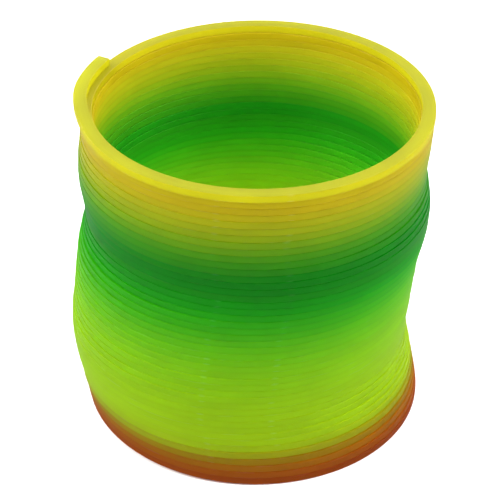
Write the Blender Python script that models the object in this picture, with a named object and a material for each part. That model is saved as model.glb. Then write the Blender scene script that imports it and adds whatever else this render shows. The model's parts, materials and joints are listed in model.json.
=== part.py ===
"""A toy spring: one flat moulded plastic strip wound into a closed coil, standing on its lowest turn.

The strip bends only by twisting a little where it crosses the coil's left and right sides. It is divided
there, so that each length of strip between two of those crossings is a piece of its own, hinged to the one
below it. Pieces of one and a half turns (coil_NN) alternate with pieces of half a turn (half_NN), so that
the hinges lie at the -X side and at the +X side by turns.

Metres, +Z up. The origin is the centre of the coil's bounding box, on the surface it stands on.
"""

import math

import bpy

MM = 0.001

# The coil
OUTER_DIAMETER = 65.0 * MM
STRIP_WIDTH = 2.5 * MM  # across the strip, along the coil's radius
STRIP_THICKNESS = 1.24 * MM  # from one flat face of the strip to the other
TURN_GAP = 0.17 * MM  # air between two closed turns
TURNS = 45
TOP_END_AZIMUTH = 151.5  # degrees from +X towards +Y, where the strip ends at the top

# The top turns, with nothing on them, spread a little, and the free end springs further out
SPREAD = 0.45 * MM  # of the top turn, outwards
SPREAD_TURNS = 2.0  # turns over which it comes
SPLAY = 1.05 * MM  # of the free end beyond that
SPLAY_ARC = 45.0  # degrees of strip that spring out
SPLAY_RISE = 28.0  # degrees of it over which the splay grows to the whole

# The lowest turn lies flat and climbs on to its own end, and the turns above it take up the climb
FLAT_SHARE = 0.55  # the share of the lowest turn that is flat
CLIMB_TURNS = 7.0  # turns until the climb is spread evenly round the coil

# The closed stack isn't quite straight: (share of the height, sideways shift along X in millimetres)
LEAN = (
    (0.00, 0.65),
    (0.12, -0.65),
    (0.25, -2.00),
    (0.38, -1.25),
    (0.52, -0.20),
    (0.66, 1.50),
    (0.80, 0.60),
    (0.93, 1.35),
    (1.00, 1.30),
)

# How the strip is divided
LONG_PIECE = 1.5  # turns of strip from a -X hinge up to the next +X hinge
SHORT_PIECE = 0.5  # turns of strip from there up to the next -X hinge
LEAST_PIECE = 0.3  # turns of strip that the last piece has at least
CUT_GAP = 0.3 * MM  # between the end faces of two neighbouring pieces
SQUARE_END = 1.5  # degrees of strip next to a cut that keep the end face square to the strip
FACETS = 32  # straight lengths in one turn

# The dye along the strip: (share of the height, linear red, green and blue)
DYE = (
    (0.00, 0.32, 0.06, 0.004),
    (0.05, 0.35, 0.13, 0.006),
    (0.09, 0.34, 0.28, 0.008),
    (0.14, 0.36, 0.55, 0.012),
    (0.33, 0.28, 0.60, 0.010),
    (0.45, 0.15, 0.52, 0.010),
    (0.55, 0.06, 0.43, 0.010),
    (0.65, 0.01, 0.28, 0.010),
    (0.73, 0.02, 0.26, 0.008),
    (0.80, 0.09, 0.33, 0.010),
    (0.88, 0.33, 0.44, 0.012),
    (0.94, 0.51, 0.46, 0.010),
    (1.00, 0.66, 0.66, 0.030),
)

ROUGHNESS = 0.35  # of the moulded plastic

OUTER_RADIUS = OUTER_DIAMETER / 2
MID_RADIUS = OUTER_RADIUS - STRIP_WIDTH / 2
PITCH = STRIP_THICKNESS + TURN_GAP
STEP = 360.0 / FACETS


def eased(t):
    """0 to 1 with level ends."""
    t = min(max(t, 0.0), 1.0)
    return t * t * (3 - 2 * t)


def slope(stops, i, k):
    """The slope at one stop of a smooth curve through the stops, level at its two ends."""
    if i == 0 or i == len(stops) - 1:
        return 0.0
    return (stops[i + 1][k] - stops[i - 1][k]) / (stops[i + 1][0] - stops[i - 1][0])


def along(stops, share):
    """The values at a share of a smooth curve through the stops."""
    share = min(max(share, 0.0), 1.0)
    i = 0
    while share > stops[i + 1][0]:
        i += 1
    width = stops[i + 1][0] - stops[i][0]
    t = (share - stops[i][0]) / width
    values = []
    for k in range(1, len(stops[0])):
        low = stops[i][k]
        high = stops[i + 1][k]
        leaving = width * slope(stops, i, k)
        arriving = width * slope(stops, i + 1, k)
        rise = eased(t)
        values.append(
            low + (high - low) * rise + leaving * t * (1 - t) ** 2 - arriving * t * t * (1 - t)
        )
    return values


def azimuth(turn):
    """The direction in degrees of the strip's middle, a number of turns up from its lower end."""
    return TOP_END_AZIMUTH + 360.0 * (TURNS - turn)


def turn_at(angle):
    """The number of turns up from the lower end at an azimuth counted as azimuth() counts it."""
    return TURNS - (angle - TOP_END_AZIMUTH) / 360.0


def middle_height(turn):
    """The height of the strip's middle above the surface that the coil stands on."""
    within = turn - math.floor(turn)
    climb = eased((within - FLAT_SHARE) / (1.0 - FLAT_SHARE))
    fade = 1.0 - eased((turn - 1.0) / (CLIMB_TURNS - 1.0))
    return STRIP_THICKNESS / 2 + PITCH * (turn + fade * (climb - within))


def sideways(turn):
    """The stack's sideways shift along X."""
    return MM * along(LEAN, turn / TURNS)[0]


def outward(turn):
    """How far the strip stands out from the coil's circle."""
    spread = SPREAD * eased(1 - (TURNS - turn) / SPREAD_TURNS)
    splay = SPLAY * eased((SPLAY_ARC - 360.0 * (TURNS - turn)) / SPLAY_RISE)
    return spread + splay


def strip_point(turn):
    """The middle of the strip's section, before the coil is centred on the origin."""
    angle = math.radians(azimuth(turn))
    radius = MID_RADIUS + outward(turn)
    x = radius * math.cos(angle) + sideways(turn)
    y = radius * math.sin(angle)
    return x, y, middle_height(turn)


def piece_angles(low_turn, high_turn):
    """The azimuths of a piece's corners, from its lower end to its upper end."""
    start = azimuth(low_turn)
    end = azimuth(high_turn)
    first = math.floor((start - 2 * SQUARE_END) / STEP)
    last = math.ceil((end + 2 * SQUARE_END) / STEP)
    between = [STEP * k for k in range(first, last - 1, -1)]
    return [start, start - SQUARE_END] + between + [end + SQUARE_END, end]


def centring_shift():
    """The mean of the coil's furthest reach each way, along X and along Y."""
    half = STRIP_WIDTH / 2
    reach = []
    for angle in piece_angles(0.0, TURNS):
        turn = turn_at(angle)
        x, y, _ = strip_point(turn)
        reach.append((x + half * math.cos(math.radians(angle)), y + half * math.sin(math.radians(angle))))
    xs = [x for x, _ in reach]
    ys = [y for _, y in reach]
    return (min(xs) + max(xs)) / 2, (min(ys) + max(ys)) / 2


def cut_turns():
    """Where the strip is divided: (turn, side) with side -1 at -X and +1 at +X, from the lowest up."""
    first_minus = (TOP_END_AZIMUTH + 180.0) / 360.0
    cuts = []
    turn = first_minus
    while turn < TURNS - LEAST_PIECE:
        cuts.append((turn, -1))
        if turn + LONG_PIECE < TURNS - LEAST_PIECE:
            cuts.append((turn + LONG_PIECE, 1))
        turn += LONG_PIECE + SHORT_PIECE
    return cuts


def hinge_point(turn, side):
    """A hinge lies on the outermost edge of the turns next to its cut, at the height of the strip there."""
    near = [min(turn + up, TURNS) for up in (-1, 0, 1)]
    edges = [sideways(t) + side * (OUTER_RADIUS + outward(t)) for t in near]
    x = max(edges) if side > 0 else min(edges)
    return x, 0.0, middle_height(turn)


def section_profile(guides):
    """The strip's rectangular section, as the shape that each piece's path carries along."""
    curve = bpy.data.curves.new("strip_section", "CURVE")
    curve.dimensions = "2D"
    corners = ((-1, -1), (-1, 1), (1, 1), (1, -1))
    line = curve.splines.new("POLY")
    line.points.add(len(corners) - 1)
    for point, (across, up) in zip(line.points, corners):
        point.co = (across * STRIP_WIDTH / 2, up * STRIP_THICKNESS / 2, 0.0, 1.0)
    line.use_cyclic_u = True
    profile = bpy.data.objects.new("strip_section", curve)
    profile.hide_render = True
    profile.display_type = "WIRE"
    guides.objects.link(profile)
    return profile


def dyed_plastic(name, share):
    """The plastic at one height of the stack."""
    material = bpy.data.materials.new(name)
    material.use_nodes = True
    shader = material.node_tree.nodes["Principled BSDF"]
    colour = (*[max(c, 0.0) for c in along(DYE, share)], 1.0)
    shader.inputs["Base Color"].default_value = colour
    shader.inputs["Roughness"].default_value = ROUGHNESS
    shader.inputs["Metallic"].default_value = 0.0
    material.diffuse_color = colour
    return material


def strip_piece(name, low_turn, high_turn, origin, shift, profile, coil):
    """One length of the strip, with its object's origin at a given point."""
    curve = bpy.data.curves.new(name, "CURVE")
    curve.dimensions = "3D"
    curve.twist_mode = "Z_UP"
    curve.bevel_mode = "OBJECT"
    curve.bevel_object = profile
    curve.use_fill_caps = True
    angles = piece_angles(low_turn, high_turn)
    path = curve.splines.new("POLY")
    path.points.add(len(angles) - 1)
    for point, angle in zip(path.points, angles):
        x, y, z = strip_point(turn_at(angle))
        point.co = (x - shift[0] - origin[0], y - shift[1] - origin[1], z - origin[2], 1.0)
    piece = bpy.data.objects.new(name, curve)
    middle = (low_turn + high_turn) / 2
    curve.materials.append(dyed_plastic(name + "_plastic", middle / TURNS))
    coil.objects.link(piece)
    return piece


def main():
    for old in list(bpy.data.objects):
        bpy.data.objects.remove(old, do_unlink=True)
    coil = bpy.data.collections.new("spring_coil_toy")
    guides = bpy.data.collections.new("guides")
    bpy.context.scene.collection.children.link(coil)
    bpy.context.scene.collection.children.link(guides)
    guides.hide_render = True
    profile = section_profile(guides)
    shift = centring_shift()

    cuts = cut_turns()
    half_gap = CUT_GAP / 2 / (2 * math.pi * MID_RADIUS)
    lows = [0.0] + [turn + half_gap for turn, _ in cuts]
    highs = [turn - half_gap for turn, _ in cuts] + [float(TURNS)]

    below = None
    below_origin = (0.0, 0.0, 0.0)
    number = 0
    for k, (low, high) in enumerate(zip(lows, highs)):
        if k == 0:
            name = "base_turn"
            origin = (0.0, 0.0, 0.0)
        else:
            turn, side = cuts[k - 1]
            x, y, z = hinge_point(turn, side)
            origin = (x - shift[0], y, z)
            if side < 0:
                number += 1
            name = ("coil_%02d" if side < 0 else "half_%02d") % number
        if k == len(cuts):
            name = "free_end"
        piece = strip_piece(name, low, high, origin, shift, profile, coil)
        piece.parent = below
        piece.location = [a - b for a, b in zip(origin, below_origin)]
        below = piece
        below_origin = origin


main()
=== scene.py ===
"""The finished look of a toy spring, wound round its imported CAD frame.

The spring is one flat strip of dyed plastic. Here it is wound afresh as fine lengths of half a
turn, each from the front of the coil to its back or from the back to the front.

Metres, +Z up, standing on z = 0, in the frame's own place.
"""

import json
import math

import bpy
from bpy.props import FloatProperty, FloatVectorProperty, IntProperty, PointerProperty
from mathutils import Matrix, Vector

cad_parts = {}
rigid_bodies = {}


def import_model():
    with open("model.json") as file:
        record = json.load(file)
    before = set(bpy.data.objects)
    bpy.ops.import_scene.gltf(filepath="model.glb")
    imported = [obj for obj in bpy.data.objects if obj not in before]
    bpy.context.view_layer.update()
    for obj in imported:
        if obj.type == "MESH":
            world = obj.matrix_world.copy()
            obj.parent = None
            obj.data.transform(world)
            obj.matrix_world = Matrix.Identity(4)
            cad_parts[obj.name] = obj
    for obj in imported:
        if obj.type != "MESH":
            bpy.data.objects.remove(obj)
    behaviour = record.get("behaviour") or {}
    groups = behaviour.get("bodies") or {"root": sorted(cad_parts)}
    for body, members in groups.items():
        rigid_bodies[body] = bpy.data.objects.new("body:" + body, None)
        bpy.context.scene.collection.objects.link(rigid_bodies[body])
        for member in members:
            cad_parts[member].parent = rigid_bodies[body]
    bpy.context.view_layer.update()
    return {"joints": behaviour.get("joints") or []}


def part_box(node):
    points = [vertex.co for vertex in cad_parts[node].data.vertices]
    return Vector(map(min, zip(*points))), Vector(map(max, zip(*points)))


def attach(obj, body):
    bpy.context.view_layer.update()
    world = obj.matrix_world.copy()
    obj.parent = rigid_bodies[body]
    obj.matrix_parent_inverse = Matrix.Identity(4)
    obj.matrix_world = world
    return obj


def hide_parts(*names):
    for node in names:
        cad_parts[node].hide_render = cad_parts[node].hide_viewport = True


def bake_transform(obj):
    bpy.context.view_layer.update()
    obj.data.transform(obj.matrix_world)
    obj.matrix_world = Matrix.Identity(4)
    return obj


bl_info = {
    "name": "Spring coil toy",
    "version": (1, 0, 0),
    "blender": (4, 5, 0),
    "location": "3D View > Sidebar > Spring",
    "description": "Winds a dyed plastic toy spring round its CAD frame",
    "category": "Object",
}

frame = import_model()

MM = 0.001

# The winding, as the CAD frame has it
TOP_END_AZIMUTH = 151.5  # degrees from +X towards +Y
SPREAD = 0.45 * MM  # how far the top turn stands out
SPREAD_TURNS = 2.0  # turns over which that comes
SPLAY = 1.05 * MM  # how much further the free end springs out
SPLAY_ARC = 45.0  # degrees of strip that spring out
SPLAY_RISE = 28.0  # degrees of it over which the splay grows to the whole
FLAT_SHARE = 0.55  # the share of the lowest turn that lies flat
CLIMB_TURNS = 7.0  # turns until the climb is even round the coil
AXIS_X = 0.170 * MM  # from the frame's origin to the axis that the lean is counted from
AXIS_Y = 0.068 * MM
LEAN = (
    (0.00, 0.65),
    (0.12, -0.65),
    (0.25, -2.00),
    (0.38, -1.25),
    (0.52, -0.20),
    (0.66, 1.50),
    (0.80, 0.60),
    (0.93, 1.35),
    (1.00, 1.30),
)  # (share of the height, sideways shift in millimetres)

# Where the hinges lie along the strip, as the CAD frame has them, in turns
FIRST_HINGE = (TOP_END_AZIMUTH + 180.0) / 360.0  # the lowest -X hinge
HINGE_STEP = 2.0  # from one -X hinge up to the next
LONG_PIECE = 1.5  # from a -X hinge up to the next +X hinge
QUARTER = 0.25  # from a hinge to the coil's front or back

# The coil's front, and a share of a hinge's angle that the half turns are listed with
FRONT = -90.0  # the azimuth of the coil's front
BACK_SHARE = 0.15  # of a -X hinge's angle, listed for the half turns at the coil's back

# How a turn wanders: (radians in a turn, phase in radians, share of the stray)
STRAY_WAVES = (
    (4.17, 0.6, 0.50),
    (2.63, 2.1, 0.40),
    (7.41, 0.0, 0.35),
)

# The strip's section and its two cut ends
CORNER_STEPS = 4  # flats that round each long corner
FLANK_HEIGHTS = (0.35, -0.35)  # shares of half the thickness at which the crown has a point
FLAT_PLACES = (0.4, -0.4)  # shares of half the width at which a flat face has a point
END_ROUNDING = 0.12 * MM  # of a cut end's edge
END_STEPS = (30, 60, 90)  # degrees of that rounding at which it has a ring
END_WEAR = 0.4  # how near to a corner a cut end counts as being
NEARBY = 1e-4  # turns either way that give the strip's direction

# Where each finish begins: (share of the height, the record's slot)
SLOTS = (
    (0.000, "orange_brown"),
    (0.110, "lime"),
    (0.500, "green"),
    (0.800, "amber"),
    (0.955, "yellow"),
)

# How the winding is held against the CAD nodes that it stands for
FIT = 0.4 * MM  # how far it may lie from one
MARGIN = 0.01  # turns at a node's ends that aren't tested

# The stage
FLOOR_REACH = 4.0
FLOOR_LEVEL = -0.05 * MM
LIGHT_PLACE = (0.62, -0.16, 0.54)  # of the right light, which the left one mirrors
LIGHT_SIZE = 0.50
LIGHT_AIM = (0.0, 0.0, 0.03)
SENSOR_WIDTH = 36.0  # millimetres
NEAREST_SEEN = 0.01
FURTHEST_SEEN = 20.0
PATCHY = (0.3, 0.7)  # the span of a noise that a patchy value follows

# Noise in the plastic: (cycles in a metre, detail, share of that along and across the strip)
DRIFT = (45.0, 2.0)  # of the dye's edges
FLOW = (1500.0, 2.0, (0.03, 1.0, 1.0))
PATCHES = (260.0, 4.0, (0.35, 1.0, 1.0))
RUB = (420.0, 4.0, (0.5, 1.0, 1.0))
MARK_DRIFT = (12.0, 1.0)
MARK_STRENGTH = (23.0, 3.0)
PIT_DETAIL = 3.0

# Where a look begins and ends: (from, to, strength at the first, strength at the last)
INNER_FACE = (-0.9 * MM, -1.2 * MM, 0.0, 1.0)  # across the strip: the inner face, which gets painted light
TOP_FACE = (0.60 * MM, 0.68 * MM, 0.0, 0.35)  # up the strip: the top face, which gets the painted sheen
OPEN_TOP = (0.92, 0.985, 1.0, 0.2)  # share of the turns: the painted inside light fades in the top ones, where less light gathers
RIM = (0.95, 0.98, 0.0, 1.0)  # share of the turns: those whose top face gets a painted pale sheen
RUBBED = (0.52, 0.72, 0.0, 1.0)  # noise that counts as rubbed
WORN = (0.55, 1.0, 0.0, 1.0)  # nearness to a corner
MARKED = (0.48, 0.66, 0.0, 1.0)  # noise that counts as marked
MARK_EDGE = (0.3, 1.0, 0.0, 1.0)  # nearness to a corner
MOTTLING = (*PATCHY, 0.93, 1.06)  # brightness of the patches

# Painted light on the inner faces: paler, brighter and with a painted glow
INSIDE_GAMMA = 0.80
INSIDE_SATURATION = 0.98
INSIDE_VALUE = 1.25
INSIDE_GLOW = (0.030, 0.012, 0.0, 1.0)  # painted glow added to the inner faces, for light that wanders round in the coil
# Painted shade: a darker, redder tint laid on the dye at the long corners, in the seams between
# turns
SEAM_SHADE_TINT = (0.72, 0.52, 0.30, 1.0)
THROUGH_GAMMA = 0.5  # light that comes through is paler than the face
# How pale the rubbed corners and the painted highlights on the mould marks turn
WORN_AND_HIGHLIGHT_SATURATION = 0.75
WORN_AND_HIGHLIGHT_VALUE = 1.5

# The mould marks: raised, and painted pale as highlights
MARK_PLACES = (10.5, 347.5)  # degrees past the front
MARK_WIDTH = 1.6  # degrees
MARK_WANDER = 3.0  # degrees
# the painted highlight: how pale a mould mark turns
MARK_HIGHLIGHT = 0.16
MARK_HEIGHT = 0.9  # against the grain's

# The surface
GRAIN_STRENGTH = 0.25
GRAIN_DEPTH = 0.03 * MM
SHINE = 0.18
POLISHED = 0.05  # how much smoother the smoothest patches are
DULLED = 0.07  # how much rougher the roughest are
WORN_ROUGHNESS = 0.3


def eased(t):
    """0 to 1 with level ends."""
    t = min(max(t, 0.0), 1.0)
    return t * t * (3 - 2 * t)


def slope(stops, i):
    """The slope at one stop of a smooth curve through the stops, level at its two ends."""
    if i == 0 or i == len(stops) - 1:
        return 0.0
    return (stops[i + 1][1] - stops[i - 1][1]) / (stops[i + 1][0] - stops[i - 1][0])


def along(stops, share):
    """The value at a share of a smooth curve through the stops."""
    share = min(max(share, 0.0), 1.0)
    i = 0
    while share > stops[i + 1][0]:
        i += 1
    width = stops[i + 1][0] - stops[i][0]
    t = (share - stops[i][0]) / width
    leaving = width * slope(stops, i)
    arriving = width * slope(stops, i + 1)
    rise = (stops[i + 1][1] - stops[i][1]) * eased(t)
    return stops[i][1] + rise + leaving * t * (1 - t) ** 2 - arriving * t * t * (1 - t)


# ---- Sizes and colours that can be changed ----


class SpringStrip(bpy.types.PropertyGroup):
    """The strip and how it is wound."""

    turns: IntProperty(
        name="Turns",
        description="Turns of strip from the standing end to the free end",
        default=45,
        min=3,
    )
    outer_diameter: FloatProperty(
        name="Outer diameter",
        description="Across the coil, outside",
        default=65.0 * MM,
        precision=4,
        unit="LENGTH",
    )
    width: FloatProperty(
        name="Strip width",
        description="Across the strip, along the coil's radius",
        default=2.5 * MM,
        precision=5,
        unit="LENGTH",
    )
    pitch: FloatProperty(
        name="Pitch",
        description="Height from one closed turn to the next",
        default=1.41 * MM,
        precision=5,
        unit="LENGTH",
    )
    seam: FloatProperty(
        name="Seam",
        description="Air that shows between two closed turns",
        default=0.015 * MM,
        precision=5,
        unit="LENGTH",
    )
    corner: FloatProperty(
        name="Corner radius",
        description="Rounding of the strip's four long corners",
        default=0.09 * MM,
        precision=5,
        unit="LENGTH",
    )
    crown: FloatProperty(
        name="Crown",
        description="How far the strip's outer and inner faces bulge",
        default=0.03 * MM,
        precision=5,
        unit="LENGTH",
    )
    stray: FloatProperty(
        name="Stray",
        description="How far a turn lies out of line with its neighbours",
        default=0.04 * MM,
        precision=5,
        unit="LENGTH",
    )
    steps: IntProperty(
        name="Steps in a turn",
        description="Straight lengths that make up one turn",
        default=128,
        min=32,
    )


class SpringDye(bpy.types.PropertyGroup):
    """The dye from the standing turn to the top turn."""

    russet: FloatVectorProperty(
        name="Russet",
        description="Dye of the very lowest turn",
        subtype="COLOR",
        default=(0.3605, 0.0665, 0.0015),
    )
    brown: FloatVectorProperty(
        name="Orange brown",
        description="Dye of the turns that the spring stands on",
        subtype="COLOR",
        default=(0.4162, 0.1314, 0.0015),
    )
    umber: FloatVectorProperty(
        name="Umber",
        description="Where the brown starts to turn green",
        subtype="COLOR",
        default=(0.3704, 0.2124, 0.0015),
    )
    olive: FloatVectorProperty(
        name="Olive",
        description="Where the brown runs into the lime",
        subtype="COLOR",
        default=(0.3750, 0.4478, 0.0040),
    )
    fresh_lime: FloatVectorProperty(
        name="Fresh lime",
        description="Lower edge of the lime band",
        subtype="COLOR",
        default=(0.3929, 0.5735, 0.0023),
    )
    lime: FloatVectorProperty(
        name="Lime",
        description="Dye of the lower third",
        subtype="COLOR",
        default=(0.3309, 0.5763, 0.0015),
    )
    spring_green: FloatVectorProperty(
        name="Spring green",
        description="Upper edge of the lime band",
        subtype="COLOR",
        default=(0.2218, 0.5489, 0.0017),
    )
    leaf: FloatVectorProperty(
        name="Leaf green",
        description="Half way from the lime to the deep green",
        subtype="COLOR",
        default=(0.0949, 0.4778, 0.0019),
    )
    green: FloatVectorProperty(
        name="Green",
        description="Just below the deep green",
        subtype="COLOR",
        default=(0.0174, 0.3851, 0.0015),
    )
    deep_green: FloatVectorProperty(
        name="Deep green",
        description="Dye of the darkest turns, two thirds of the way up",
        subtype="COLOR",
        default=(0.0021, 0.2533, 0.0015),
    )
    forest: FloatVectorProperty(
        name="Forest green",
        description="Upper edge of the deep green band",
        subtype="COLOR",
        default=(0.0060, 0.2455, 0.0015),
    )
    moss: FloatVectorProperty(
        name="Moss",
        description="Where the deep green turns yellow",
        subtype="COLOR",
        default=(0.0873, 0.3269, 0.0015),
    )
    ochre: FloatVectorProperty(
        name="Ochre green",
        description="Where the moss runs into the amber",
        subtype="COLOR",
        default=(0.2536, 0.3778, 0.0015),
    )
    amber: FloatVectorProperty(
        name="Amber",
        description="Dye of the turns near the top",
        subtype="COLOR",
        default=(0.4222, 0.4149, 0.0019),
    )
    gold: FloatVectorProperty(
        name="Gold",
        description="Upper edge of the amber band",
        subtype="COLOR",
        default=(0.5037, 0.4015, 0.0015),
    )
    yellow: FloatVectorProperty(
        name="Yellow",
        description="Dye of the top turn",
        subtype="COLOR",
        default=(0.4429, 0.4044, 0.0015),
    )
    # Painted sheen: the pale colour of the top faces of the top turns, which face the light from
    # above
    top_face_sheen: FloatVectorProperty(
        name="Lemon",
        description="Dye of the top face, paler where the plastic is thin",
        subtype="COLOR",
        default=(0.45, 0.58, 0.06),
    )


class SpringFinish(bpy.types.PropertyGroup):
    """The plastic's surface."""

    roughness: FloatProperty(
        name="Roughness",
        description="Roughness of clean moulded plastic",
        default=0.42,
        min=0.0,
        max=1.0,
        subtype="FACTOR",
    )
    grain_size: FloatProperty(
        name="Grain size",
        description="Size of the mould's fine grain",
        default=0.35 * MM,
        precision=5,
        unit="LENGTH",
    )
    scuffing: FloatProperty(
        name="Scuffing",
        description="How much the long corners are rubbed pale",
        default=0.05,
        min=0.0,
        max=1.0,
        subtype="FACTOR",
    )
    translucency: FloatProperty(
        name="Translucency",
        description="Share of the light that passes through the surface",
        default=0.72,
        min=0.0,
        max=1.0,
        subtype="FACTOR",
    )
    # Painted shade at the seams: how much darker and redder the dye is painted at the long corners
    seam_shade: FloatProperty(
        name="Painted seam shade",
        description="How much deeper the dye is next to the seams",
        default=0.2,
        min=0.0,
        max=1.0,
        subtype="FACTOR",
    )


class SpringStage(bpy.types.PropertyGroup):
    """The floor, the light and the camera."""

    floor_colour: FloatVectorProperty(
        name="Floor colour",
        description="Pale paint of the floor",
        subtype="COLOR",
        default=(0.93, 0.93, 0.93),
    )
    sky: FloatProperty(
        name="Sky",
        description="Strength of the even light from the horizon",
        default=0.50,
        min=0.0,
    )
    ceiling: FloatProperty(
        name="Ceiling",
        description="Strength of the even light from overhead",
        default=0.85,
        min=0.0,
    )
    backdrop: FloatProperty(
        name="Backdrop",
        description="Strength of the light from the white wall behind the spring",
        default=2.1,
        min=0.0,
    )
    side_light: FloatProperty(
        name="Side lights",
        description="Power of each soft light beside the spring",
        default=8.2,
        min=0.0,
        unit="POWER",
    )
    camera_pitch: FloatProperty(
        name="Camera pitch",
        description="How far the camera looks down",
        default=math.radians(33.945),
        subtype="ANGLE",
        unit="ROTATION",
    )
    camera_distance: FloatProperty(
        name="Camera distance",
        description="From the camera to the point that it looks at",
        default=395.4 * MM,
        unit="LENGTH",
    )
    camera_aim: FloatVectorProperty(
        name="Camera aim",
        description="The point that the camera looks at",
        subtype="TRANSLATION",
        unit="LENGTH",
        precision=5,
        default=(0.262 * MM, 0.0, 31.342 * MM),
    )
    lens: FloatProperty(
        name="Lens",
        description="Focal length of the camera, in millimetres",
        default=148.34,
        min=1.0,
    )


# ---- The winding ----


def azimuth(strip, turn):
    """The direction in degrees of the strip's middle, a number of turns up from its lower end."""
    return TOP_END_AZIMUTH + 360.0 * (strip.turns - turn)


def middle_height(strip, turn):
    """The height of the strip's middle. The lowest turn lies flat and climbs on to its own end."""
    within = turn - math.floor(turn)
    climb = eased((within - FLAT_SHARE) / (1.0 - FLAT_SHARE))
    fade = 1.0 - eased((turn - 1.0) / (CLIMB_TURNS - 1.0))
    return shown_thickness(strip) / 2 + strip.pitch * (turn + fade * (climb - within))


def shown_thickness(strip):
    """The strip's thickness as it shows, which all but closes the seams."""
    return strip.pitch - strip.seam


def stray(strip, turn):
    """A turn's small wander out of line with its neighbours."""
    wander = 0.0
    for rate, phase, share in STRAY_WAVES:
        wander += share * math.sin(rate * turn + phase)
    return strip.stray * wander


def middle_point(strip, turn):
    """The middle of the strip's section."""
    left = strip.turns - turn
    spread = SPREAD * eased(1 - left / SPREAD_TURNS)
    splay = SPLAY * eased((SPLAY_ARC - 360.0 * left) / SPLAY_RISE)
    radius = (strip.outer_diameter - strip.width) / 2 + spread + splay + stray(strip, turn)
    angle = math.radians(azimuth(strip, turn))
    x = radius * math.cos(angle) + MM * along(LEAN, turn / strip.turns) + AXIS_X
    y = radius * math.sin(angle) + AXIS_Y
    return Vector((x, y, middle_height(strip, turn)))


def along_strip(strip, turn):
    """The direction in which the strip runs."""
    step = middle_point(strip, turn + NEARBY) - middle_point(strip, turn - NEARBY)
    return step.normalized()


def section(strip):
    """The strip's section, all round: (out, up, normal out, normal up, nearness to a corner)."""
    half_width = strip.width / 2
    half_thickness = shown_thickness(strip) / 2
    corner = strip.corner
    points = []
    for out, up, first in ((1, 1, 90), (1, -1, 0), (-1, -1, -90), (-1, 1, 180)):
        for k in range(CORNER_STEPS + 1):
            angle = math.radians(first - 90.0 * k / CORNER_STEPS)
            n_out = math.cos(angle)
            n_up = math.sin(angle)
            point_out = out * (half_width - corner) + corner * n_out
            point_up = up * (half_thickness - corner) + corner * n_up
            points.append((point_out, point_up, n_out, n_up, 1.0))
        if out == up:
            for height in FLANK_HEIGHTS:
                bulge = half_width + strip.crown * (1 - height * height)
                tilt = 2 * strip.crown * height / half_thickness
                points.append((out * bulge, out * height * half_thickness, out, out * tilt, 0.0))
        else:
            for share in FLAT_PLACES:
                points.append((out * share * half_width, up * half_thickness, 0.0, up, 0.0))
    return points


def end_stations(turn, way, turn_length):
    """The stations that round a cut end, the lower with way -1 and the upper with way 1."""
    stations = []
    for step in END_STEPS:
        angle = math.radians(step)
        back = END_ROUNDING * (1 - math.sin(angle)) / turn_length
        stations.append((turn - way * back, END_ROUNDING * (1 - math.cos(angle)), way * angle))
    return stations[::way]


def drawn_in(distance, half, inset):
    """A section's distance from its middle, drawn in by an inset at its edge."""
    return distance - inset * math.copysign(min(1.0, abs(distance) / half), distance)


def wind(strip, name, low, high, closed_low=False, closed_high=False):
    """A piece of strip between two turns. A closed end is cut square with a rounded edge."""
    ring = section(strip)
    around = len(ring)
    turn_length = math.pi * strip.outer_diameter
    count = max(2, round((high - low) * strip.steps))
    stations = [(low + (high - low) * k / count, 0.0, 0.0) for k in range(count + 1)]
    if closed_low:
        stations[0:1] = end_stations(low, -1, turn_length)
    if closed_high:
        stations[-1:] = end_stations(high, 1, turn_length)

    points = []
    normals = []
    shares = []
    directions = []
    corners = []
    places = []
    turned = 360.0 * round((azimuth(strip, (low + high) / 2) - 90.0) / 360.0)
    for turn, inset, tilt in stations:
        here = middle_point(strip, turn)
        ahead = along_strip(strip, turn)
        outward = Vector((here.x, here.y, 0.0))
        outward -= outward.dot(ahead) * ahead
        outward.normalize()
        upward = outward.cross(ahead)
        upward *= 1.0 if upward.z > 0 else -1.0
        for out, up, n_out, n_up, near in ring:
            point_out = drawn_in(out, strip.width / 2, inset)
            point_up = drawn_in(up, shown_thickness(strip) / 2, inset)
            points.append(here + point_out * outward + point_up * upward)
            facing = (n_out * outward + n_up * upward) * math.cos(tilt) + ahead * math.sin(tilt)
            normals.append(facing.normalized())
            shares.append(turn / strip.turns)
            directions.append(azimuth(strip, turn) - turned)
            corners.append(near)
            places.extend((turn * turn_length, out, up))
    faces = []
    for k in range(len(stations) - 1):
        for j in range(around):
            a = k * around + j
            b = k * around + (j + 1) % around
            faces.append((a, a + around, b + around, b))
    for closed, station, way in ((closed_low, 0, -1), (closed_high, len(stations) - 1, 1)):
        if not closed:
            continue
        ahead = along_strip(strip, stations[station][0])
        first = len(points)
        for j in range(station * around, (station + 1) * around):
            points.append(points[j].copy())
            normals.append(way * ahead)
            shares.append(shares[j])
            directions.append(directions[j])
            corners.append(END_WEAR)
            places.extend(places[3 * j:3 * j + 3])
        cap = [first + j for j in range(around)]
        faces.append(cap[::-1] if way > 0 else cap)

    mesh = bpy.data.meshes.new(name)
    mesh.from_pydata(points, [], faces)
    for title, values in (("dye_share", shares), ("direction", directions), ("corner", corners)):
        mesh.attributes.new(title, "FLOAT", "POINT").data.foreach_set("value", values)
    mesh.attributes.new("strip_place", "FLOAT_VECTOR", "POINT").data.foreach_set("vector", places)
    mesh.polygons.foreach_set("use_smooth", [True] * len(mesh.polygons))
    mesh.normals_split_custom_set_from_vertices(normals)
    mesh.update()
    piece = bpy.data.objects.new(name, mesh)
    bpy.context.scene.collection.objects.link(piece)
    return piece


def finish_piece(piece, low, high, strip):
    """Gives a piece the finish of the record's slot that holds its share of the height."""
    share = (low + high) / 2 / strip.turns
    slot = [name for start, name in SLOTS if share >= start][-1]
    piece.data.materials.append(spring_plastic(slot))


def bend(piece):
    """Bakes a half turn's placing into its mesh."""
    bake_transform(piece)


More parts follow.
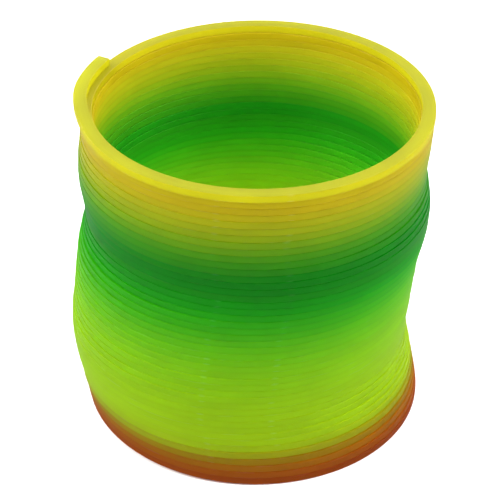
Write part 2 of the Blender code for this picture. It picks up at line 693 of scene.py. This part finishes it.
def check_against(strip, node, low, high):
    """Stops the build if the winding doesn't lie where the CAD node does."""
    cad_low, cad_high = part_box(node)
    checks = 12
    for k in range(checks + 1):
        turn = low + (high - low) * k / checks
        point = middle_point(strip, turn)
        for axis in range(3):
            if not cad_low[axis] - FIT <= point[axis] <= cad_high[axis] + FIT:
                raise RuntimeError(f"the winding leaves CAD node {node} at turn {turn:.2f}")


def hinge_pairs():
    """For each -X hinge from the lowest up: the body below it, its own, and the one above."""
    parent = {joint["child"]: joint["parent"] for joint in frame["joints"]}
    child = {joint["parent"]: joint["child"] for joint in frame["joints"]}
    pairs = []
    for joint in frame["joints"]:
        if joint["name"].startswith("arch_minus_x"):
            pairs.append((parent[joint["child"]], joint["child"], child[joint["child"]]))
    return pairs


# ---- Plastic ----


def new_group(title, inputs, outputs):
    """An empty shader group with its sockets, as (group, its input node, its output node)."""
    group = bpy.data.node_groups.new(title, "ShaderNodeTree")
    for label, kind, value in inputs:
        socket = group.interface.new_socket(label, in_out="INPUT", socket_type=kind)
        if value is not None:
            socket.default_value = value
    for label, kind in outputs:
        group.interface.new_socket(label, in_out="OUTPUT", socket_type=kind)
    return group, group.nodes.new("NodeGroupInput"), group.nodes.new("NodeGroupOutput")


def maths(tree, operation, first, second=None, clamp=False):
    """A Math node, with sockets or numbers as its inputs. Returns its output."""
    node = tree.nodes.new("ShaderNodeMath")
    node.operation = operation
    node.use_clamp = clamp
    for socket, value in zip(node.inputs, (first, second)):
        if value is None:
            continue
        if isinstance(value, bpy.types.NodeSocket):
            tree.links.new(value, socket)
        else:
            socket.default_value = value
    return node.outputs[0]


def ranged(tree, value, low, high, to_low, to_high, smooth=False):
    """A Map Range node. Returns its output."""
    node = tree.nodes.new("ShaderNodeMapRange")
    node.interpolation_type = "SMOOTHSTEP" if smooth else "LINEAR"
    tree.links.new(value, node.inputs["Value"])
    limits = {"From Min": low, "From Max": high, "To Min": to_low, "To Max": to_high}
    for label, number in limits.items():
        if isinstance(number, bpy.types.NodeSocket):
            tree.links.new(number, node.inputs[label])
        else:
            node.inputs[label].default_value = number
    return node.outputs["Result"]


def mixed(tree, factor, first, second, way="MIX"):
    """A colour Mix node. Returns its output."""
    node = tree.nodes.new("ShaderNodeMix")
    node.data_type = "RGBA"
    node.blend_type = way
    # A Mix node's factor and two colours are its 1st, 7th and 8th inputs
    sockets = (node.inputs[0], node.inputs[6], node.inputs[7])
    for socket, value in zip(sockets, (factor, first, second)):
        if isinstance(value, bpy.types.NodeSocket):
            tree.links.new(value, socket)
        else:
            socket.default_value = value
    return node.outputs[2]


def noise(tree, place, scale, detail=2.0, stretch=None):
    """A Noise Texture on the unrolled strip. Returns its value."""
    if stretch is not None:
        mapping = tree.nodes.new("ShaderNodeMapping")
        mapping.inputs["Scale"].default_value = stretch
        tree.links.new(place, mapping.inputs["Vector"])
        place = mapping.outputs["Vector"]
    node = tree.nodes.new("ShaderNodeTexNoise")
    node.inputs["Detail"].default_value = detail
    tree.links.new(place, node.inputs["Vector"])
    if isinstance(scale, bpy.types.NodeSocket):
        tree.links.new(scale, node.inputs["Scale"])
    else:
        node.inputs["Scale"].default_value = scale
    return node.outputs[0]


def attribute(tree, title, vector=False):
    """A value or a vector that the strip carries."""
    node = tree.nodes.new("ShaderNodeAttribute")
    node.attribute_name = title
    return node.outputs["Vector" if vector else "Fac"]


def dye_group():
    """The dye by height: it is poured on in bands that run into each other unevenly. On it go
    painted light on the inner faces, a painted sheen on the top faces of the top turns, and a
    darker, redder copy for painted shade at the seams.
    """
    title = "Banded dye"
    if title in bpy.data.node_groups:
        return bpy.data.node_groups[title]
    dye = bpy.context.scene.spring_dye
    group, given, made = new_group(
        title,
        (
            ("Share", "NodeSocketFloat", 0.5),
            ("Place", "NodeSocketVector", None),
            ("Unevenness", "NodeSocketFloat", 0.01),
            ("Inside", "NodeSocketFloat", 0.0),
            ("Top face", "NodeSocketFloat", 0.0),
        ),
        (("Colour", "NodeSocketColor"), ("Seam shade colour", "NodeSocketColor")),
    )
    drift = noise(group, given.outputs["Place"], *DRIFT)
    drift = maths(group, "SUBTRACT", drift, 0.5)
    drift = maths(group, "MULTIPLY", drift, given.outputs["Unevenness"])
    share = maths(group, "ADD", given.outputs["Share"], drift)
    ramp = group.nodes.new("ShaderNodeValToRGB")
    ramp.color_ramp.interpolation = "CARDINAL"
    stops = (
        (0.015, dye.russet),
        (0.050, dye.brown),
        (0.080, dye.umber),
        (0.110, dye.olive),
        (0.140, dye.fresh_lime),
        (0.300, dye.lime),
        (0.420, dye.spring_green),
        (0.510, dye.leaf),
        (0.590, dye.green),
        (0.670, dye.deep_green),
        (0.730, dye.forest),
        (0.800, dye.moss),
        (0.855, dye.ochre),
        (0.915, dye.amber),
        (0.960, dye.gold),
        (0.990, dye.yellow),
    )
    elements = ramp.color_ramp.elements
    while len(elements) < len(stops):
        elements.new(0.5)
    for element, (position, colour) in zip(elements, stops):
        element.position = position
        element.color = (*colour, 1.0)
    group.links.new(share, ramp.inputs["Fac"])
    # Painted light: the inner faces are made paler and brighter and a glow is added, less in the
    # top turns
    inside_lightened = group.nodes.new("ShaderNodeGamma")
    inside_lightened.inputs["Gamma"].default_value = INSIDE_GAMMA
    group.links.new(ramp.outputs["Color"], inside_lightened.inputs["Color"])
    lit = group.nodes.new("ShaderNodeHueSaturation")
    lit.inputs["Saturation"].default_value = INSIDE_SATURATION
    lit.inputs["Value"].default_value = INSIDE_VALUE
    group.links.new(inside_lightened.outputs["Color"], lit.inputs["Color"])
    glow = mixed(group, 1.0, lit.outputs["Color"], INSIDE_GLOW, "ADD")
    open_top = ranged(group, given.outputs["Share"], *OPEN_TOP)
    inside = maths(group, "MULTIPLY", given.outputs["Inside"], open_top)
    colour = mixed(group, inside, ramp.outputs["Color"], glow)
    # Painted sheen: the top faces of the top turns are painted pale
    rim = ranged(group, given.outputs["Share"], *RIM)
    rim = maths(group, "MULTIPLY", given.outputs["Top face"], rim)
    colour = mixed(group, rim, colour, (*dye.top_face_sheen, 1.0))
    # Painted shade: a darker, redder copy of the colour for the seams between turns
    deep = mixed(group, 1.0, colour, SEAM_SHADE_TINT, "MULTIPLY")
    group.links.new(colour, made.inputs["Colour"])
    group.links.new(deep, made.inputs["Seam shade colour"])
    return group


def grain_group():
    """The mould's grain: fine pits, and faint lines where the plastic flowed along the strip."""
    title = "Mould grain"
    if title in bpy.data.node_groups:
        return bpy.data.node_groups[title]
    group, given, made = new_group(
        title,
        (
            ("Place", "NodeSocketVector", None),
            ("Grains in a metre", "NodeSocketFloat", 2800.0),
            ("Flow lines", "NodeSocketFloat", 0.5),
        ),
        (("Height", "NodeSocketFloat"), ("Patches", "NodeSocketFloat")),
    )
    pits = noise(group, given.outputs["Place"], given.outputs["Grains in a metre"], PIT_DETAIL)
    flow = noise(group, given.outputs["Place"], *FLOW)
    flow = maths(group, "MULTIPLY", flow, given.outputs["Flow lines"])
    height = maths(group, "ADD", pits, flow)
    patches = noise(group, given.outputs["Place"], *PATCHES)
    group.links.new(height, made.inputs["Height"])
    group.links.new(patches, made.inputs["Patches"])
    return group


def scuff_group():
    """Where handling has rubbed the long corners."""
    title = "Corner scuffs"
    if title in bpy.data.node_groups:
        return bpy.data.node_groups[title]
    group, given, made = new_group(
        title,
        (
            ("Corner", "NodeSocketFloat", 0.0),
            ("Place", "NodeSocketVector", None),
            ("Amount", "NodeSocketFloat", 0.4),
        ),
        (("Mask", "NodeSocketFloat"),),
    )
    rub = noise(group, given.outputs["Place"], *RUB)
    rub = ranged(group, rub, *RUBBED, True)
    near = ranged(group, given.outputs["Corner"], *WORN, True)
    mask = maths(group, "MULTIPLY", rub, near)
    mask = maths(group, "MULTIPLY", mask, given.outputs["Amount"], True)
    group.links.new(mask, made.inputs["Mask"])
    return group


def parting_and_highlight_group():
    """Two columns of small marks at the front, where the halves of the mould met. Their mask raises
    them and paints them pale as highlights.
    """
    title = "Parting marks"
    if title in bpy.data.node_groups:
        return bpy.data.node_groups[title]
    group, given, made = new_group(
        title,
        (
            ("Direction", "NodeSocketFloat", 0.0),
            ("Corner", "NodeSocketFloat", 0.0),
            ("Place", "NodeSocketVector", None),
        ),
        (("Mask", "NodeSocketFloat"),),
    )
    wander = noise(group, given.outputs["Place"], *MARK_DRIFT)
    wander = maths(group, "SUBTRACT", wander, 0.5)
    wander = maths(group, "MULTIPLY", wander, MARK_WANDER)
    masks = []
    for place in MARK_PLACES:
        off = maths(group, "SUBTRACT", given.outputs["Direction"], FRONT + place)
        off = maths(group, "ADD", off, wander)
        off = maths(group, "ABSOLUTE", off)
        masks.append(ranged(group, off, 0.0, MARK_WIDTH, 1.0, 0.0, True))
    mask = maths(group, "MAXIMUM", masks[0], masks[1])
    strength = noise(group, given.outputs["Place"], *MARK_STRENGTH)
    strength = ranged(group, strength, *MARKED)
    edge = ranged(group, given.outputs["Corner"], *MARK_EDGE, True)
    mask = maths(group, "MULTIPLY", mask, strength)
    mask = maths(group, "MULTIPLY", mask, edge)
    group.links.new(mask, made.inputs["Mask"])
    return group


def placed(tree, group, **values):
    """A group's node in a tree, with sockets or numbers as its inputs, named with _ for a space."""
    node = tree.nodes.new("ShaderNodeGroup")
    node.node_tree = group
    for label, value in values.items():
        socket = node.inputs[label.replace("_", " ")]
        if isinstance(value, bpy.types.NodeSocket):
            tree.links.new(value, socket)
        else:
            socket.default_value = value
    return node


# How each finish differs:
# (scuffing, flow lines, unevenness of the dye, painted shade at the seams, roughness above the
# clean plastic's)
WEAR_AND_SEAM_SHADE = {
    "orange_brown": (1.5, 0.8, 0.012, 1.0, 0.05),
    "lime": (0.8, 0.5, 0.016, 0.4, 0.02),
    "green": (0.6, 0.5, 0.016, 1.0, 0.00),
    "amber": (0.8, 0.6, 0.012, 1.0, 0.00),
    "yellow": (1.2, 0.6, 0.006, 1.0, -0.02),
}


def spring_plastic(slot):
    """The plastic of one of the record's finishes."""
    title = "Spring plastic " + slot.replace("_", " ")
    if title in bpy.data.materials:
        return bpy.data.materials[title]
    finish = bpy.context.scene.spring_finish
    scuffing, flow, unevenness, seam_shade, rougher = WEAR_AND_SEAM_SHADE[slot]
    material = bpy.data.materials.new(title)
    material.use_nodes = True
    tree = material.node_tree
    shader = tree.nodes["Principled BSDF"]
    share = attribute(tree, "dye_share")
    direction = attribute(tree, "direction")
    corner = attribute(tree, "corner")
    place = attribute(tree, "strip_place", True)

    across = tree.nodes.new("ShaderNodeSeparateXYZ")
    tree.links.new(place, across.inputs["Vector"])
    inside = ranged(tree, across.outputs["Y"], *INNER_FACE)
    top = ranged(tree, across.outputs["Z"], *TOP_FACE)
    dye = placed(
        tree,
        dye_group(),
        Share=share,
        Place=place,
        Unevenness=unevenness,
        Inside=inside,
        Top_face=top,
    )
    grain = placed(
        tree,
        grain_group(),
        Place=place,
        Grains_in_a_metre=1.0 / finish.grain_size,
        Flow_lines=flow,
    )
    amount = finish.scuffing * scuffing
    scuffs = placed(tree, scuff_group(), Corner=corner, Place=place, Amount=amount)
    parting_and_highlight = placed(tree, parting_and_highlight_group(), Direction=direction, Corner=corner, Place=place)

    # Painted shade: the colour turns darker and redder at the long corners, in the seams between
    # turns
    seam_shading = maths(tree, "MULTIPLY", corner, finish.seam_shade * seam_shade, True)
    colour = mixed(tree, seam_shading, dye.outputs["Colour"], dye.outputs["Seam shade colour"])
    mottled = ranged(tree, grain.outputs["Patches"], *MOTTLING)
    bright = tree.nodes.new("ShaderNodeHueSaturation")
    tree.links.new(mottled, bright.inputs["Value"])
    tree.links.new(colour, bright.inputs["Color"])
    # Painted highlight: the mould marks are painted pale, like the rubbed corners
    marks = maths(tree, "MULTIPLY", parting_and_highlight.outputs["Mask"], MARK_HIGHLIGHT)
    marks = maths(tree, "MAXIMUM", marks, scuffs.outputs["Mask"])
    pale = tree.nodes.new("ShaderNodeHueSaturation")
    pale.inputs["Saturation"].default_value = WORN_AND_HIGHLIGHT_SATURATION
    pale.inputs["Value"].default_value = WORN_AND_HIGHLIGHT_VALUE
    tree.links.new(bright.outputs["Color"], pale.inputs["Color"])
    colour = mixed(tree, marks, bright.outputs["Color"], pale.outputs["Color"])
    tree.links.new(colour, shader.inputs["Base Color"])

    clean = finish.roughness + rougher
    patches = grain.outputs["Patches"]
    rough = ranged(tree, patches, *PATCHY, clean - POLISHED, clean + DULLED)
    dulled = maths(tree, "MULTIPLY", marks, WORN_ROUGHNESS)
    rough = maths(tree, "ADD", rough, dulled, True)
    tree.links.new(rough, shader.inputs["Roughness"])

    raised = maths(tree, "MULTIPLY", parting_and_highlight.outputs["Mask"], MARK_HEIGHT)
    height = maths(tree, "ADD", grain.outputs["Height"], raised)
    bump = tree.nodes.new("ShaderNodeBump")
    bump.inputs["Strength"].default_value = GRAIN_STRENGTH
    bump.inputs["Distance"].default_value = GRAIN_DEPTH
    tree.links.new(height, bump.inputs["Height"])
    tree.links.new(bump.outputs["Normal"], shader.inputs["Normal"])
    shader.inputs["Specular IOR Level"].default_value = SHINE

    thin = tree.nodes.new("ShaderNodeGamma")
    thin.inputs["Gamma"].default_value = THROUGH_GAMMA
    tree.links.new(colour, thin.inputs["Color"])
    through = tree.nodes.new("ShaderNodeBsdfTranslucent")
    tree.links.new(thin.outputs["Color"], through.inputs["Color"])
    both = tree.nodes.new("ShaderNodeMixShader")
    both.inputs["Fac"].default_value = finish.translucency
    tree.links.new(shader.outputs["BSDF"], both.inputs[1])
    tree.links.new(through.outputs["BSDF"], both.inputs[2])
    tree.links.new(both.outputs["Shader"], tree.nodes["Material Output"].inputs["Surface"])
    return material


# ---- Stage ----


def floor_paint(colour):
    """Matt pale paint with a faint unevenness."""
    material = bpy.data.materials.new("Pale floor")
    material.use_nodes = True
    tree = material.node_tree
    shader = tree.nodes["Principled BSDF"]
    place = tree.nodes.new("ShaderNodeTexCoord").outputs["Object"]
    patches = noise(tree, place, 3.0, 3.0)
    tone = mixed(tree, patches, (*[0.985 * c for c in colour], 1.0), (*colour, 1.0))
    tree.links.new(tone, shader.inputs["Base Color"])
    matt = ranged(tree, patches, *PATCHY, 0.75, 0.85)
    tree.links.new(matt, shader.inputs["Roughness"])
    shader.inputs["Specular IOR Level"].default_value = 0.2
    return material


def soft_light(name, place, power):
    """A square soft light that faces the spring."""
    lamp = bpy.data.lights.new(name, "AREA")
    lamp.shape = "SQUARE"
    lamp.size = LIGHT_SIZE
    lamp.energy = power
    light = bpy.data.objects.new(name, lamp)
    light.location = place
    facing = Vector(LIGHT_AIM) - Vector(place)
    light.rotation_euler = facing.to_track_quat("-Z", "Y").to_euler()
    bpy.context.scene.collection.objects.link(light)


# ---- Operators ----


class SPRING_OT_standing_turn(bpy.types.Operator):
    """Wind the lowest turn, flat on the floor, from its cut end to the coil's front"""

    bl_idname = "spring.standing_turn"
    bl_label = "Standing turn"

    def execute(self, context):
        strip = context.scene.spring_strip
        high = FIRST_HINGE - QUARTER
        piece = wind(strip, "standing_turn", 0.0, high, closed_low=True)
        finish_piece(piece, 0.0, high, strip)
        below = hinge_pairs()[0][0]
        check_against(strip, below, 0.0, high)
        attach(piece, below)
        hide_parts(below)
        return {"FINISHED"}


class SPRING_OT_minus_x_turns(bpy.types.Operator):
    """Wind the half turns at the -X hinges"""

    bl_idname = "spring.minus_x_turns"
    bl_label = "Turns over the -X hinges"

    def execute(self, context):
        strip = context.scene.spring_strip
        for number, (below, body, _) in enumerate(hinge_pairs()):
            hinge = FIRST_HINGE + HINGE_STEP * number
            check_against(strip, body, hinge + MARGIN, hinge + LONG_PIECE - MARGIN)
            back = hinge + QUARTER
            parts = (
                ("hinge", hinge - QUARTER, back, 0.0, BACK_SHARE),
                ("span", back, back + 2 * QUARTER, BACK_SHARE, 1.0),
            )
            for part, low, high, at_low, at_high in parts:
                piece = wind(strip, f"minus_x_{part}_{number + 1:02d}", low, high)
                finish_piece(piece, low, high, strip)
                bend(piece)
                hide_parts(body)
        return {"FINISHED"}


class SPRING_OT_plus_x_turns(bpy.types.Operator):
    """Wind the half turns at the +X hinges"""

    bl_idname = "spring.plus_x_turns"
    bl_label = "Turns over the +X hinges"

    def execute(self, context):
        strip = context.scene.spring_strip
        for number, (_, body, above) in enumerate(hinge_pairs()):
            hinge = FIRST_HINGE + HINGE_STEP * number + LONG_PIECE
            top = min(hinge + HINGE_STEP - LONG_PIECE - MARGIN, strip.turns)
            check_against(strip, above, hinge + MARGIN, top)
            back = hinge - QUARTER
            parts = (
                ("span", back - 2 * QUARTER, back, 0.0, 1.0 - BACK_SHARE),
                ("hinge", back, hinge + QUARTER, 1.0 - BACK_SHARE, 1.0),
            )
            for part, low, high, at_low, at_high in parts:
                piece = wind(strip, f"plus_x_{part}_{number + 1:02d}", low, high)
                finish_piece(piece, low, high, strip)
                bend(piece)
                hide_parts(above)
        return {"FINISHED"}


class SPRING_OT_free_end(bpy.types.Operator):
    """Wind the last stretch of the top turn, which springs out a little at its blunt end"""

    bl_idname = "spring.free_end"
    bl_label = "Free end"

    def execute(self, context):
        strip = context.scene.spring_strip
        pairs = hinge_pairs()
        low = FIRST_HINGE + HINGE_STEP * len(pairs) - QUARTER
        piece = wind(strip, "free_end_strip", low, float(strip.turns), closed_high=True)
        finish_piece(piece, low, float(strip.turns), strip)
        body = pairs[-1][2]
        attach(piece, body)
        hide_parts(body)
        return {"FINISHED"}


class SPRING_OT_stage(bpy.types.Operator):
    """Lay the pale floor, set the soft lights and aim the camera"""

    bl_idname = "spring.stage"
    bl_label = "Stage"

    def execute(self, context):
        scene = context.scene
        stage = scene.spring_stage
        mesh = bpy.data.meshes.new("floor")
        corners = []
        for x, y in ((-1, -1), (1, -1), (1, 1), (-1, 1)):
            corners.append((x * FLOOR_REACH, y * FLOOR_REACH, FLOOR_LEVEL))
        mesh.from_pydata(corners, [], [(0, 1, 2, 3)])
        mesh.materials.append(floor_paint(stage.floor_colour))
        floor = bpy.data.objects.new("floor", mesh)
        scene.collection.objects.link(floor)

        world = bpy.data.worlds.new("Soft white room")
        world.use_nodes = True
        room = world.node_tree
        sky = room.nodes["Background"]
        sky.inputs["Color"].default_value = (1.0, 1.0, 1.0, 1.0)
        facing = room.nodes.new("ShaderNodeTexCoord").outputs["Generated"]
        height = room.nodes.new("ShaderNodeSeparateXYZ")
        room.links.new(facing, height.inputs["Vector"])
        above = ranged(room, height.outputs["Z"], 0.0, 0.9, stage.sky, stage.ceiling, True)
        behind = ranged(room, height.outputs["Y"], -0.1, 0.9, 0.0, stage.backdrop, True)
        strength = maths(room, "ADD", above, behind)
        room.links.new(strength, sky.inputs["Strength"])
        scene.world = world
        scene.view_settings.view_transform = "Standard"

        x, y, z = LIGHT_PLACE
        soft_light("left_light", (-x, y, z), stage.side_light)
        soft_light("right_light", (x, y, z), stage.side_light)

        lens = bpy.data.cameras.new("camera")
        lens.sensor_width = SENSOR_WIDTH
        lens.lens = stage.lens
        lens.clip_start = NEAREST_SEEN
        lens.clip_end = FURTHEST_SEEN
        camera = bpy.data.objects.new("camera", lens)
        pitch = stage.camera_pitch
        back = Vector((0.0, -math.cos(pitch), math.sin(pitch)))
        camera.location = Vector(stage.camera_aim) + stage.camera_distance * back
        camera.rotation_euler = (math.pi / 2 - pitch, 0.0, 0.0)
        scene.collection.objects.link(camera)
        scene.camera = camera
        return {"FINISHED"}


class SPRING_PT_panel(bpy.types.Panel):
    """The spring's pieces, sizes and colours in the sidebar"""

    bl_idname = "SPRING_PT_panel"
    bl_label = "Spring coil toy"
    bl_space_type = "VIEW_3D"
    bl_region_type = "UI"
    bl_category = "Spring"

    def draw(self, context):
        layout = self.layout
        for operator in OPERATORS:
            layout.operator(operator.bl_idname)
        for title, holder, _ in HOLDERS:
            box = layout.box()
            box.label(text=title)
            settings = getattr(context.scene, holder)
            for field in settings.__annotations__:
                box.prop(settings, field)


OPERATORS = (
    SPRING_OT_standing_turn,
    SPRING_OT_minus_x_turns,
    SPRING_OT_plus_x_turns,
    SPRING_OT_free_end,
    SPRING_OT_stage,
)
HOLDERS = (
    ("Strip", "spring_strip", SpringStrip),
    ("Dye", "spring_dye", SpringDye),
    ("Finish", "spring_finish", SpringFinish),
    ("Stage", "spring_stage", SpringStage),
)


def register():
    for _, holder, group in HOLDERS:
        bpy.utils.register_class(group)
        setattr(bpy.types.Scene, holder, PointerProperty(type=group))
    for operator in OPERATORS:
        bpy.utils.register_class(operator)
    bpy.utils.register_class(SPRING_PT_panel)


def unregister():
    bpy.utils.unregister_class(SPRING_PT_panel)
    for operator in reversed(OPERATORS):
        bpy.utils.unregister_class(operator)
    for _, holder, group in reversed(HOLDERS):
        delattr(bpy.types.Scene, holder)
        bpy.utils.unregister_class(group)


def main():
    register()
    bpy.ops.spring.standing_turn()
    bpy.ops.spring.minus_x_turns()
    bpy.ops.spring.plus_x_turns()
    bpy.ops.spring.free_end()
    bpy.ops.spring.stage()


if __name__ == "__main__":
    main()
